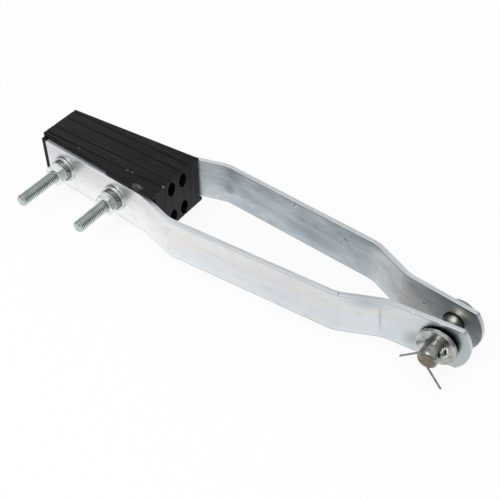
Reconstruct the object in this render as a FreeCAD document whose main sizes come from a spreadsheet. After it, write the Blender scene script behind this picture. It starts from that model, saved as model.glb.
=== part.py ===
import FreeCAD, Part
import math
import os
import Sketcher
from types import SimpleNamespace
from FreeCAD import Placement, Rotation, Vector

# Anchor clamp for a four-core aerial bundled cable.
# Two bent flat straps squeeze a block of plastic jaws between them, two long bolts
# close the block, and the straps come together as two ears on a clevis pin.
# The frame stands at the middle of the clevis pin: +X runs from the jaws to the clevis,
# +Z is up, and the bolt threads and nuts are on the near side, -Y.
# Reaches are distances from the clevis pin, halves are distances from the middle plane.

DRIVING_SIZES = [
    ("strap_width", 30.0, "height of the flat bar that each strap is bent from"),
    ("strap_thickness", 3.0, "thickness of the flat bar"),
    ("strap_bend_radius", 5.0, "inside radius of the bends"),
    ("tail_reach", 284.6, "from the clevis pin to the cut end of the strap"),
    ("heel_run", 24.6, "from the front bolt to the bend where the strap leaves the jaws"),
    ("shoulder_run", 26.4, "from that bend to the widest point"),
    ("waist_run", 26.2, "from the root of the ear to where the strap starts to close in"),
    ("root_reach", 32.1, "from the clevis pin to the bend at the root of the ear"),
    ("tip_reach", 17.8, "from the clevis pin to the rounded tip of the ear"),
    ("tail_half", 18.7, "outer face at the cut end"),
    ("heel_half", 23.95, "outer face at the heel bend"),
    ("shoulder_half", 31.9, "outer face at the shoulder bend"),
    ("waist_half", 25.1, "outer face at the waist bend"),
    ("root_half", 13.3, "outer face at the root of the ear"),
    ("tip_half", 8.74, "outer face at the tip of the ear"),
    ("ear_round_radius", 21.0, "radius of the rounded end of the ear"),
    ("pin_hole_diameter", 13.6, "clevis hole in each ear"),
    ("swing_hole_diameter", 10.0, "bolt hole in straps and wedges, wide so that a strap can swing"),
    ("block_length", 99.1, "length of the plastic block"),
    ("block_height", 36.4, "height of the plastic block"),
    ("tail_stop_thickness", 3.8, "wall of the wedge that covers the cut end of the strap"),
    ("tail_stop_half", 17.8, "outer face of that wall"),
    ("strap_end_gap", 0.3, "between the cut end and the wall that covers it"),
    ("rail_gap", 0.6, "between the edge of the strap and the rail beside it"),
    ("rail_front_half", 22.5, "outer face of the rails at the front of the block"),
    ("lip_proud", 1.3, "how far the keeper lip stands out past its rail"),
    ("lip_reach", 229.9, "from the clevis pin to the start of the keeper lip"),
    ("lip_ramp", 2.0, "length of the sloping start of the lip"),
    ("jaw_stack_half", 12.9, "seam between side jaw and wedge"),
    ("middle_jaw_half", 5.5, "seam between middle jaw and side jaw"),
    ("seam", 0.2, "clearance between two plastic faces"),
    ("groove_radius", 6.4, "radius of a cable groove"),
    ("groove_depth", 3.6, "depth of a cable groove from the seam"),
    ("groove_rise", 11.3, "height of a cable groove above the middle"),
    ("jaw_hole_diameter", 9.2, "bolt hole in a jaw"),
    ("edge_break", 0.4, "bevel on the long edges of the plastic parts"),
    ("bolt_edge", 15.4, "from the cut end of the strap to the first bolt"),
    ("bolt_spacing", 45.7, "between the two bolts"),
    ("bolt_diameter", 7.96, "thread crest of the M8 bolts"),
    ("bolt_length", 80.0, "under the head"),
    ("bolt_point", 1.0, "bevel at the end of the thread"),
    ("head_height", 5.3, "hexagon head"),
    ("hexagon_flats", 13.0, "across flats, head and nut"),
    ("nut_height", 6.5, "hexagon nut"),
    ("tail_nut_turn", -8.0, "how far the tail nut is turned from level, in degrees"),
    ("thread_clearance", 0.05, "between nut and thread, at the radius"),
    ("washer_diameter", 18.0, "flat washers of the bolts"),
    ("washer_hole", 8.8, "hole of the flat and spring washers"),
    ("washer_thickness", 1.6, "flat washers of the bolts"),
    ("washer_roll", 0.3, "rolled edge that stamping leaves on a washer"),
    ("spring_washer_diameter", 14.8, "spring washers"),
    ("spring_washer_thickness", 2.0, "spring washers"),
    ("spring_washer_gap", 1.0, "slit in a spring washer"),
    ("seat_clearance", 0.02, "between a washer and what it sits on"),
    ("pin_diameter", 12.0, "clevis pin"),
    ("pin_length", 37.4, "under the head"),
    ("pin_point", 1.2, "bevel at the end of the pin"),
    ("pin_head_diameter", 20.0, "head of the clevis pin"),
    ("pin_head_height", 5.0, "head of the clevis pin"),
    ("pin_head_bevel", 0.8, "bevel round the head"),
    ("pin_head_play", 0.2, "between the head and the ear"),
    ("clevis_washer_diameter", 24.0, "washer on the clevis pin"),
    ("clevis_washer_hole", 13.0, "washer on the clevis pin"),
    ("clevis_washer_thickness", 2.5, "washer on the clevis pin"),
    ("clevis_washer_standoff", 1.9, "from the ear to the washer, along the pin"),
    ("split_pin_edge", 5.5, "from the end of the clevis pin to the split pin"),
    ("split_pin_hole", 3.6, "cross hole for the split pin"),
    ("split_pin_turn", 33.0, "tilt of the cross hole above the X direction, in degrees"),
    ("split_pin_roll", 34.0, "roll of the split pin about the cross hole, in degrees"),
    ("split_pin_wire", 1.44, "wire of the split pin"),
    ("split_pin_pair", 1.56, "between the middles of the two legs"),
    ("split_pin_stub", 1.0, "straight leg outside the clevis pin before its bend"),
    ("eye_length", 5.7, "length of the eye past the clevis pin"),
    ("eye_width", 4.1, "width of the eye, middle to middle of the wire"),
    ("eye_lift", 1.9, "how far the eye is bent up from the line of the cross hole"),
    ("straight_leg", 15.2, "length of the leg that stays nearly straight"),
    ("straight_leg_turn", 11.6, "how far that leg is bent, in degrees"),
    ("curled_leg", 21.0, "length of the leg that is bent back under the pin"),
    ("curled_leg_turn", 110.0, "how far that leg is bent, in degrees"),
    ("curled_leg_lean", 4.4, "how far the tip of that leg leans out to the near side"),
    ("split_pin_bend_radius", 1.1, "bend radius of the wire"),
]

HEXAGON_CORNER = 1 / math.sqrt(3)
CHAMFER_CIRCLE = 0.95
CHAMFER_SLOPE = math.tan(math.radians(30))
OVERCUT = 2.0

document = FreeCAD.newDocument("AnchorClamp")
sheet = document.addObject("Spreadsheet::Sheet", "sizes")
for row, (name, number, meaning) in enumerate(DRIVING_SIZES, start=1):
    sheet.set(f"A{row}", name)
    sheet.set(f"B{row}", str(number))
    sheet.setAlias(f"B{row}", name)
    sheet.set(f"C{row}", meaning)
document.recompute()


class Size:
    """A length with the sheet formula that gives it, so that sums keep both in step."""

    def __init__(self, value, formula):
        self.value = float(value)
        self.formula = formula

    def __add__(self, other):
        other = size_of(other)
        return Size(self.value + other.value, f"({self.formula} + {other.formula})")

    def __sub__(self, other):
        other = size_of(other)
        return Size(self.value - other.value, f"({self.formula} - {other.formula})")

    def __mul__(self, other):
        other = size_of(other)
        return Size(self.value * other.value, f"({self.formula} * {other.formula})")

    def __truediv__(self, other):
        other = size_of(other)
        return Size(self.value / other.value, f"({self.formula} / {other.formula})")

    def __neg__(self):
        return Size(-self.value, f"(-1 * {self.formula})")

    def root(self):
        return Size(math.sqrt(self.value), f"sqrt({self.formula})")


def size_of(number):
    """Let a plain number take part in a sum of sizes."""
    return number if isinstance(number, Size) else Size(number, f"({number})")


size = SimpleNamespace(**{
    name: Size(getattr(sheet, name), f"sizes.{name}") for name, _, _ in DRIVING_SIZES
})

# Places worked out from the driving sizes

tail_bolt_reach = size.tail_reach - size.bolt_edge
front_bolt_reach = tail_bolt_reach - size.bolt_spacing
heel_reach = front_bolt_reach - size.heel_run
shoulder_reach = heel_reach - size.shoulder_run
waist_reach = size.root_reach + size.waist_run
grip_slope = (size.heel_half - size.tail_half) / (size.tail_reach - heel_reach)
ear_slope = (size.root_half - size.tip_half) / (size.root_reach + size.tip_reach)
grip_wall = size.strap_thickness * (grip_slope * grip_slope + 1).root()
ear_half = size.tip_half + ear_slope * size.tip_reach
block_tail = size.tail_reach + size.strap_end_gap + size.tail_stop_thickness
block_front = block_tail - size.block_length
wedge_inner_half = size.jaw_stack_half + size.seam / 2
rail_floor = size.strap_width / 2 + size.rail_gap
rail_thickness = size.block_height / 2 - rail_floor


def strap_outer_half(reach):
    """Outer face of the strap along the jaws."""
    return size.tail_half + grip_slope * (size.tail_reach - reach)


def strap_inner_half(reach):
    """Inner face of the strap along the jaws, where the wedge lies against it."""
    return strap_outer_half(reach) - grip_wall


def square_seat(reach, diameter):
    """Where something set square on a bolt first meets the slanting strap."""
    return strap_outer_half(reach) + grip_slope * diameter / 2 + size.seat_clearance


def rail_half(reach):
    """Outer face of a wedge's rail, a straight line from the tail to the front."""
    tail_half = strap_inner_half(block_tail)
    return tail_half + (size.rail_front_half - tail_half) / size.block_length * (block_tail - reach)


# Tools shared by the parts


def bind(thing, target, amount):
    """Tie a property or a constraint to the sheet."""
    thing.setExpression(target, size_of(amount).formula)


def new_body(label):
    body = document.addObject("PartDesign::Body", label)
    body.Label = label
    return body


def place(thing, x=0, y=0, z=0, quarter_turns=0):
    """Put a part in the frame, turned about X by whole quarter turns."""
    spot = [size_of(amount) for amount in (x, y, z)]
    turn = Rotation(Vector(1, 0, 0), 90 * quarter_turns)
    thing.Placement = Placement(Vector(*[amount.value for amount in spot]), turn)
    for axis, amount in zip("xyz", spot):
        bind(thing, f"Placement.Base.{axis}", amount)


def new_sketch(body, name, plane, lift=0, turn=None):
    """A sketch on one of the body's own origin planes, lifted along its normal
    and turned in its plane."""
    sketch = body.newObject("Sketcher::SketchObject", f"{body.Label}_{name}")
    support = [feature for feature in body.Origin.OriginFeatures if feature.Role == plane]
    sketch.AttachmentSupport = [(support[0], "")]
    sketch.MapMode = "FlatFace"
    bind(sketch, "AttachmentOffset.Base.z", lift)
    if turn is not None:
        bind(sketch, "AttachmentOffset.Rotation.Angle", turn)
    return sketch


def pin_point(sketch, line, end, x, y):
    """Hold one end of a line at a place given by two sizes."""
    for kind, amount in (("DistanceX", x), ("DistanceY", y)):
        amount = size_of(amount)
        index = sketch.addConstraint(Sketcher.Constraint(kind, line, end, amount.value))
        bind(sketch, f"Constraints[{index}]", amount)


def add_lines(sketch, points, closed=True):
    """A chain of lines through sized points, with no constraint yet but their joints."""
    spots = [Vector(size_of(x).value, size_of(y).value, 0) for x, y in points]
    if closed:
        spots.append(spots[0])
    lines = [
        sketch.addGeometry(Part.LineSegment(start, end))
        for start, end in zip(spots, spots[1:])
    ]
    for line, following in zip(lines, lines[1:]):
        sketch.addConstraint(Sketcher.Constraint("Coincident", line, 2, following, 1))
    if closed:
        sketch.addConstraint(Sketcher.Constraint("Coincident", lines[-1], 2, lines[0], 1))
    return lines


def draw_polygon(sketch, points):
    """A closed outline whose every corner is held by two sizes."""
    lines = add_lines(sketch, points)
    for line, (x, y) in zip(lines, points):
        pin_point(sketch, line, 1, x, y)


def draw_circle(sketch, x, y, diameter):
    centre = Vector(size_of(x).value, size_of(y).value, 0)
    circle = sketch.addGeometry(Part.Circle(centre, Vector(0, 0, 1), diameter.value / 2))
    index = sketch.addConstraint(Sketcher.Constraint("Diameter", circle, diameter.value))
    bind(sketch, f"Constraints[{index}]", diameter)
    pin_point(sketch, circle, 3, x, y)


def pad(body, sketch, length, middle=False, downward=False):
    feature = body.newObject("PartDesign::Pad", f"{sketch.Label}_pad")
    feature.Profile = sketch
    feature.Midplane = middle
    feature.Reversed = downward
    bind(feature, "Length", length)
    body.Tip = feature
    document.recompute()
    return feature


def cut_through(body, sketch):
    """Cut a sketch right through, both ways, and make sure that it cut something."""
    before = body.Shape.Volume
    feature = body.newObject("PartDesign::Pocket", f"{sketch.Label}_cut")
    feature.Profile = sketch
    feature.Type = "ThroughAll"
    feature.Midplane = True
    body.Tip = feature
    document.recompute()
    check_cut(feature, before)


def check_cut(feature, volume_before):
    if feature.Shape.Volume >= volume_before:
        raise RuntimeError(f"{feature.Label} cut nothing")


def spin(body, sketch, kind="PartDesign::Revolution"):
    """Turn a sketch about the body's own Z, adding metal or, as a groove, taking it."""
    before = 0 if body.Tip is None else body.Shape.Volume
    feature = body.newObject(kind, f"{sketch.Label}_spin")
    feature.Profile = sketch
    feature.ReferenceAxis = (sketch, ["V_Axis"])
    feature.Angle = 360
    body.Tip = feature
    document.recompute()
    if kind == "PartDesign::Groove":
        check_cut(feature, before)
    return feature


def matching_edges(shape, test):
    """Names of the straight edges whose middle and direction pass a test."""
    names = []
    for number, edge in enumerate(shape.Edges, start=1):
        if not isinstance(edge.Curve, Part.Line):
            continue
        middle = edge.CenterOfMass
        direction = edge.tangentAt(edge.FirstParameter)
        if test(middle, direction):
            names.append(f"Edge{number}")
    return names


def dress(body, kind, name, test, amount):
    """Round or bevel the edges of the body's last feature that pass a test."""
    base = body.Tip
    names = matching_edges(base.Shape, test)
    if not names:
        raise RuntimeError(f"{body.Label} has no edge for its {name}")
    feature = body.newObject(kind, f"{body.Label}_{name}")
    feature.Base = (base, names)
    bind(feature, "Radius" if kind == "PartDesign::Fillet" else "Size", amount)
    body.Tip = feature
    document.recompute()


# Straps


def strap_outline(body):
    """The bent bar seen from above: five straight runs of even thickness."""
    sketch = new_sketch(body, "outline", "XY_Plane")
    overrun = size_of(OVERCUT)
    outer = [
        (-size.tail_reach, size.tail_half),
        (-heel_reach, size.heel_half),
        (-shoulder_reach, size.shoulder_half),
        (-waist_reach, size.waist_half),
        (-size.root_reach, size.root_half),
        (size.tip_reach + overrun, size.tip_half - ear_slope * overrun),
    ]
    inner = [(x, y - size.strap_thickness) for x, y in reversed(outer)]
    lines = add_lines(sketch, outer + inner)
    outer_lines = lines[0:5]
    front_end = lines[5]
    inner_lines = lines[6:11]
    tail_end = lines[11]
    for line, (x, y) in zip(outer_lines, outer):
        pin_point(sketch, line, 1, x, y)
    pin_point(sketch, outer_lines[-1], 2, *outer[-1])
    for outer_line, inner_line in zip(outer_lines, reversed(inner_lines)):
        sketch.addConstraint(Sketcher.Constraint("Parallel", outer_line, inner_line))
        wall = Sketcher.Constraint("Distance", inner_line, 1, outer_line, size.strap_thickness.value)
        index = sketch.addConstraint(wall)
        bind(sketch, f"Constraints[{index}]", size.strap_thickness)
    sketch.addConstraint(Sketcher.Constraint("Perpendicular", front_end, outer_lines[-1]))
    sketch.addConstraint(Sketcher.Constraint("Perpendicular", tail_end, outer_lines[0]))
    return sketch


def ear_trim(body):
    """What is cut off to leave the rounded end of the ear."""
    sketch = new_sketch(body, "ear_trim", "XZ_Plane")
    radius = size.ear_round_radius
    centre = size.tip_reach - radius
    corner = size.strap_width / 2 + OVERCUT
    corner_x = centre + (radius * radius - corner * corner).root()
    far_x = size.tip_reach + OVERCUT * 2
    swing = math.asin(corner.value / radius.value)
    circle = Part.Circle(Vector(centre.value, 0, 0), Vector(0, 0, 1), radius.value)
    arc = sketch.addGeometry(Part.ArcOfCircle(circle, -swing, swing))
    lines = add_lines(
        sketch,
        [(corner_x, corner), (far_x, corner), (far_x, -corner), (corner_x, -corner)],
        closed=False,
    )
    sketch.addConstraint(Sketcher.Constraint("Coincident", arc, 2, lines[0], 1))
    sketch.addConstraint(Sketcher.Constraint("Coincident", arc, 1, lines[2], 2))
    index = sketch.addConstraint(Sketcher.Constraint("Radius", arc, radius.value))
    bind(sketch, f"Constraints[{index}]", radius)
    pin_point(sketch, lines[0], 1, corner_x, corner)
    pin_point(sketch, lines[1], 1, far_x, corner)
    pin_point(sketch, lines[2], 1, far_x, -corner)
    pin_point(sketch, lines[2], 2, corner_x, -corner)
    return sketch


def strap_bends():
    """For each bend its reach, its half-span and whether the outer face is hollow there."""
    return [
        (heel_reach, size.heel_half, True),
        (shoulder_reach, size.shoulder_half, False),
        (waist_reach, size.waist_half, False),
        (size.root_reach, size.root_half, True),
    ]


def make_strap(label, quarter_turns):
    body = new_body(label)
    pad(body, strap_outline(body), size.strap_width, middle=True)
    tight = size.strap_bend_radius
    wide = size.strap_bend_radius + size.strap_thickness
    near_bend = size.strap_thickness.value

    def on_bend(middle, direction, wants_tight):
        if abs(direction.z) < 0.99:
            return False
        for reach, half, hollow_outside in strap_bends():
            offset = Vector(middle.x + reach.value, middle.y - half.value, 0)
            outside = offset.Length < near_bend / 2
            inside = not outside and offset.Length < near_bend * 1.5
            if (outside and hollow_outside == wants_tight) or (inside and hollow_outside != wants_tight):
                return True
        return False

    dress(body, "PartDesign::Fillet", "tight_bends", lambda m, d: on_bend(m, d, True), tight)
    dress(body, "PartDesign::Fillet", "wide_bends", lambda m, d: on_bend(m, d, False), wide)
    cut_through(body, ear_trim(body))
    pin_hole = new_sketch(body, "pin_hole", "XZ_Plane")
    draw_circle(pin_hole, 0, 0, size.pin_hole_diameter)
    cut_through(body, pin_hole)
    bolt_holes = new_sketch(body, "bolt_holes", "XZ_Plane")
    for reach in (tail_bolt_reach, front_bolt_reach):
        draw_circle(bolt_holes, -reach, 0, size.swing_hole_diameter)
    cut_through(body, bolt_holes)
    place(body, quarter_turns=quarter_turns)


# Plastic block


def draw_bolt_holes(body, diameter):
    sketch = new_sketch(body, "bolt_holes", "XZ_Plane")
    for reach in (tail_bolt_reach, front_bolt_reach):
        draw_circle(sketch, -reach, 0, diameter)
    cut_through(body, sketch)


def long_edge_at(height):
    """A test for edges that run along the block on its top or bottom face."""

    def test(middle, direction):
        return abs(direction.x) > 0.9 and abs(abs(middle.z) - height) < 0.01

    return test


def make_wedge(label, quarter_turns):
    """A tapered side piece: a web against the strap, a rail over each edge of the strap,
    a keeper lip on one rail and a wall over the strap's cut end."""
    body = new_body(label)
    web = new_sketch(body, "web", "XY_Plane")
    draw_polygon(web, [
        (-block_tail, wedge_inner_half),
        (-block_front, wedge_inner_half),
        (-block_front, strap_inner_half(block_front)),
        (-block_tail, strap_inner_half(block_tail)),
    ])
    pad(body, web, size.block_height, middle=True)

    top_rail = new_sketch(body, "top_rail", "XY_Plane", lift=rail_floor)
    draw_polygon(top_rail, [
        (-block_tail, wedge_inner_half),
        (-block_front, wedge_inner_half),
        (-block_front, size.rail_front_half),
        (-block_tail, strap_inner_half(block_tail)),
    ])
    pad(body, top_rail, rail_thickness)

    lip_end = size.lip_reach + size.lip_ramp
    lip_rail = new_sketch(body, "lip_rail", "XY_Plane", lift=-rail_floor)
    draw_polygon(lip_rail, [
        (-block_tail, wedge_inner_half),
        (-block_front, wedge_inner_half),
        (-block_front, size.rail_front_half + size.lip_proud),
        (-size.lip_reach, rail_half(size.lip_reach) + size.lip_proud),
        (-lip_end, rail_half(lip_end)),
        (-block_tail, strap_inner_half(block_tail)),
    ])
    pad(body, lip_rail, rail_thickness, downward=True)

    tail_stop = new_sketch(body, "tail_stop", "XY_Plane")
    stop_face = block_tail - size.tail_stop_thickness
    draw_polygon(tail_stop, [
        (-block_tail, wedge_inner_half),
        (-stop_face, wedge_inner_half),
        (-stop_face, size.tail_stop_half),
        (-block_tail, size.tail_stop_half),
    ])
    pad(body, tail_stop, size.strap_width, middle=True)
    dress(
        body, "PartDesign::Chamfer", "edge_break",
        long_edge_at(size.block_height.value / 2), size.edge_break,
    )
    draw_bolt_holes(body, size.swing_hole_diameter)
    place(body, quarter_turns=quarter_turns)


def make_jaw(label, inner_half, outer_half, groove_centres, quarter_turns=0):
    """A bar of the block with cable grooves along it and two bolt holes across it."""
    body = new_body(label)
    bar = new_sketch(body, "bar", "YZ_Plane", lift=-block_tail)
    top = size.block_height / 2
    draw_polygon(bar, [
        (inner_half, -top), (outer_half, -top), (outer_half, top), (inner_half, top),
    ])
    pad(body, bar, size.block_length)
    dress(body, "PartDesign::Chamfer", "edge_break", long_edge_at(top.value), size.edge_break)
    grooves = new_sketch(body, "grooves", "YZ_Plane")
    for centre in groove_centres:
        for rise in (size.groove_rise, -size.groove_rise):
            draw_circle(grooves, centre, rise, size.groove_radius * 2)
    cut_through(body, grooves)
    draw_bolt_holes(body, size.jaw_hole_diameter)
    place(body, quarter_turns=quarter_turns)


# Bolts, nuts and washers, each turned about its own Z and then laid along Y


def hexagon_points():
    """Corners of the hexagon that heads and nuts share."""
    corner = size.hexagon_flats * HEXAGON_CORNER
    flat = size.hexagon_flats / 2
    return [
        (corner, 0), (corner / 2, flat), (-corner / 2, flat),
        (-corner, 0), (-corner / 2, -flat), (corner / 2, -flat),
    ]


def bevel_hexagon(body, name, face, inward):
    """Take the corners off one face of a hexagon with a cone."""
    corner = size.hexagon_flats * HEXAGON_CORNER + OVERCUT
    start = size.hexagon_flats / 2 * CHAMFER_CIRCLE
    drop = (corner - start) * (CHAMFER_SLOPE * inward)
    sketch = new_sketch(body, name, "XZ_Plane")
    draw_polygon(sketch, [(start, face), (corner, face), (corner, size_of(face) + drop)])
    spin(body, sketch, "PartDesign::Groove")


def make_bolt(label, reach):
    body = new_body(label)
    shank = new_sketch(body, "shank", "XZ_Plane")
    radius = size.bolt_diameter / 2
    draw_polygon(shank, [
        (0, 0), (radius, 0), (radius, size.bolt_length - size.bolt_point),
        (radius - size.bolt_point, size.bolt_length), (0, size.bolt_length),
    ])
    spin(body, shank)
    head = new_sketch(body, "head", "XY_Plane")
    draw_polygon(head, hexagon_points())
    pad(body, head, size.head_height, downward=True)
    bevel_hexagon(body, "head_bevel", -size.head_height, 1)
    place(body, -reach, square_seat(reach, size.hexagon_flats * HEXAGON_CORNER * 2), quarter_turns=1)


def make_nut(label, reach, turn=None):
    body = new_body(label)
    block = new_sketch(body, "block", "XY_Plane", turn=turn)
    draw_polygon(block, hexagon_points())
    draw_circle(block, 0, 0, size.bolt_diameter + size.thread_clearance * 2)
    pad(body, block, size.nut_height)
    bevel_hexagon(body, "seat_bevel", 0, 1)
    bevel_hexagon(body, "outer_bevel", size.nut_height, -1)
    flat_washer_seat = square_seat(reach, size.washer_diameter)
    seat = flat_washer_seat + size.washer_thickness + size.spring_washer_thickness
    place(body, -reach, -seat, quarter_turns=1)


def spin_washer(body, diameter, hole, thickness):
    """A stamped ring, with its rolled edge on the side that faces out."""
    ring = new_sketch(body, "ring", "XZ_Plane")
    draw_polygon(ring, [
        (hole / 2, 0), (diameter / 2, 0), (diameter / 2, thickness - size.washer_roll),
        (diameter / 2 - size.washer_roll, thickness), (hole / 2, thickness),
    ])
    spin(body, ring)


def make_flat_washer(label, reach):
    body = new_body(label)
    spin_washer(body, size.washer_diameter, size.washer_hole, size.washer_thickness)
    place(body, -reach, -square_seat(reach, size.washer_diameter), quarter_turns=1)


def make_spring_washer(label, reach):
    """A sharp-edged ring cut through with a slanting slit."""
    body = new_body(label)
    height = size.spring_washer_thickness
    inner = size.washer_hole / 2
    outer = size.spring_washer_diameter / 2
    ring = new_sketch(body, "ring", "XZ_Plane")
    draw_polygon(ring, [(inner, 0), (outer, 0), (outer, height), (inner, height)])
    spin(body, ring)
    slit = new_sketch(body, "slit", "YZ_Plane")
    half_gap = size.spring_washer_gap / 2
    slant = height / 2
    draw_polygon(slit, [
        (-half_gap - slant, 0), (half_gap - slant, 0),
        (half_gap + slant, height), (-half_gap + slant, height),
    ])
    before = body.Shape.Volume
    cut = body.newObject("PartDesign::Pocket", f"{label}_slit_cut")
    cut.Profile = slit
    cut.Reversed = True
    bind(cut, "Length", size.spring_washer_diameter)
    body.Tip = cut
    document.recompute()
    check_cut(cut, before)
    seat = square_seat(reach, size.washer_diameter) + size.washer_thickness
    place(body, -reach, -seat, quarter_turns=1)


# Clevis pin with its washer and split pin


pin_head_seat = ear_half + ear_slope * size.pin_head_diameter / 2 + size.pin_head_play
split_pin_half = size.pin_length - size.split_pin_edge - pin_head_seat


def make_clevis_pin():
    body = new_body("clevis_pin")
    profile = new_sketch(body, "profile", "XZ_Plane")
    shank = size.pin_diameter / 2
    head = size.pin_head_diameter / 2
    top = size.pin_head_height
    draw_polygon(profile, [
        (0, -top), (head - size.pin_head_bevel, -top), (head, size.pin_head_bevel - top),
        (head, 0), (shank, 0), (shank, size.pin_length - size.pin_point),
        (shank - size.pin_point, size.pin_length), (0, size.pin_length),
    ])
    spin(body, profile)
    cross_hole = new_sketch(body, "cross_hole", "YZ_Plane")
    cross_hole.AttachmentOffset = Placement(Vector(), Rotation(Vector(0, 1, 0), 1))
    bind(cross_hole, "AttachmentOffset.Rotation.Angle", size.split_pin_turn)
    draw_circle(cross_hole, 0, size.pin_length - size.split_pin_edge, size.split_pin_hole)
    cut_through(body, cross_hole)
    place(body, 0, pin_head_seat, quarter_turns=1)


def make_clevis_washer():
    """The loose washer hangs on the pin, so it sits a little low."""
    body = new_body("clevis_washer")
    spin_washer(
        body, size.clevis_washer_diameter, size.clevis_washer_hole, size.clevis_washer_thickness
    )
    slack = (size.clevis_washer_hole - size.pin_diameter) / 2
    inner_face = ear_half + size.clevis_washer_standoff
    place(body, 0, -inner_face, size.seat_clearance * 2 - slack, quarter_turns=1)


def rounded_wire(points, radius):
    """Straight runs through the points, joined by tangent arcs."""
    edges = []
    start = points[0]
    for before, corner, after in zip(points, points[1:], points[2:]):
        arriving = (corner - before).normalize()
        leaving = (after - corner).normalize()
        turn = arriving.getAngle(leaving)
        cut = radius * math.tan(turn / 2)
        arc_start = corner - arriving * cut
        arc_end = corner + leaving * cut
        towards_centre = (leaving - arriving).normalize()
        centre = corner + towards_centre * (radius / math.cos(turn / 2))
        edges.append(Part.LineSegment(start, arc_start).toShape())
        edges.append(Part.Arc(arc_start, centre - towards_centre * radius, arc_end).toShape())
        start = arc_end
    edges.append(Part.LineSegment(start, points[-1]).toShape())
    return Part.Wire(edges)


def six_sided(centre, heading, radius):
    """The thin wire's section, with six sides in place of a circle."""
    first = heading.cross(Vector(0, 1, 0)).normalize() * radius
    corners = [
        centre + Rotation(heading, 60 * corner).multVec(first) for corner in range(6)
    ]
    return Part.makePolygon(corners + corners[:1])


def make_split_pin():
    """One wire folded to an eye, its two legs side by side through the clevis pin."""
    turn = math.radians(size.split_pin_turn.value)
    along = Vector(math.cos(turn), 0, math.sin(turn))
    across = Vector(-math.sin(turn), 0, math.cos(turn))
    outward = Vector(0, -1, 0)
    roll = math.radians(size.split_pin_roll.value)
    side = across * math.cos(roll) - outward * math.sin(roll)
    shank = size.pin_diameter.value / 2
    offset = size.split_pin_pair.value / 2
    bend = shank + size.split_pin_stub.value
    eye_half = size.eye_width.value / 2
    eye_start = shank + eye_half
    eye_end = shank + size.eye_length.value - size.split_pin_wire.value / 2
    lift = size.eye_lift.value

    def spot(u, v):
        return along * u + side * v

    def leg_end(start, length, degrees, lean=0.0):
        angle = math.radians(degrees)
        run = along * math.cos(angle) + across * math.sin(angle)
        return start - run * length + outward * lean

    straight_bend = spot(-bend, offset)
    curled_bend = spot(-bend, -offset)
    points = [
        leg_end(straight_bend, size.straight_leg.value, size.straight_leg_turn.value),
        straight_bend,
        spot(shank + size.split_pin_wire.value / 2, offset),
        spot(eye_start, eye_half + lift / 2),
        spot(eye_end, eye_half + lift),
        spot(eye_end, lift - eye_half),
        spot(eye_start, lift / 2 - eye_half),
        spot(shank + size.split_pin_wire.value / 2, -offset),
        curled_bend,
        leg_end(
            curled_bend, size.curled_leg.value, size.curled_leg_turn.value,
            size.curled_leg_lean.value,
        ),
    ]
    path = rounded_wire(points, size.split_pin_bend_radius.value)
    start = path.Vertexes[0].Point
    heading = path.Edges[0].tangentAt(path.Edges[0].FirstParameter)
    section = six_sided(start, heading, size.split_pin_wire.value / 2)
    wire = document.addObject("Part::Feature", "split_pin")
    wire.Label = "split_pin"
    wire.Shape = path.makePipeShell([section], True, True)
    place(wire, 0, -split_pin_half)


# The clamp

make_strap("far_strap", 0)
make_strap("near_strap", 2)
make_wedge("far_wedge", 0)
make_wedge("near_wedge", 2)

side_groove = size.middle_jaw_half + size.groove_depth - size.groove_radius
middle_groove = size.middle_jaw_half - size.groove_depth + size.groove_radius
side_inner = size.middle_jaw_half + size.seam / 2
side_outer = size.jaw_stack_half - size.seam / 2
middle_outer = size.middle_jaw_half - size.seam / 2
make_jaw("far_jaw", side_inner, side_outer, [side_groove])
make_jaw("near_jaw", side_inner, side_outer, [side_groove], 2)
make_jaw("middle_jaw", -middle_outer, middle_outer, [middle_groove, -middle_groove])

for place_name, bolt_reach, nut_turn in (
    ("tail", tail_bolt_reach, size.tail_nut_turn),
    ("front", front_bolt_reach, None),
):
    make_bolt(f"{place_name}_bolt", bolt_reach)
    make_flat_washer(f"{place_name}_flat_washer", bolt_reach)
    make_spring_washer(f"{place_name}_spring_washer", bolt_reach)
    make_nut(f"{place_name}_nut", bolt_reach, nut_turn)

make_clevis_pin()
make_clevis_washer()
make_split_pin()

# Check and export

document.recompute()
parts = [
    thing for thing in document.Objects
    if thing.TypeId in ("PartDesign::Body", "Part::Feature") and not thing.getParentGeoFeatureGroup()
]
for thing in document.Objects:
    if "Invalid" in thing.State or "Error" in thing.State:
        raise RuntimeError(f"{thing.Label} failed: {thing.State}")
for part in parts:
    if part.Shape.isNull() or not part.Shape.isValid() or len(part.Shape.Solids) != 1:
        raise RuntimeError(f"{part.Label} is not one good solid")

os.makedirs("parts", exist_ok=True)
for part in parts:
    part.Shape.exportStep(f"parts/{part.Label}.step")
    print(part.Label, round(part.Shape.Volume), [round(v, 2) for v in (
        part.Shape.BoundBox.XMin, part.Shape.BoundBox.XMax, part.Shape.BoundBox.YMin,
        part.Shape.BoundBox.YMax, part.Shape.BoundBox.ZMin, part.Shape.BoundBox.ZMax)])
print(len(parts), "parts")
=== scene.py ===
import math

import bmesh
import bpy
from bpy.props import FloatProperty, FloatVectorProperty, PointerProperty
from bpy.types import Operator, Panel, PropertyGroup
from mathutils import Matrix, Vector


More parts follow.
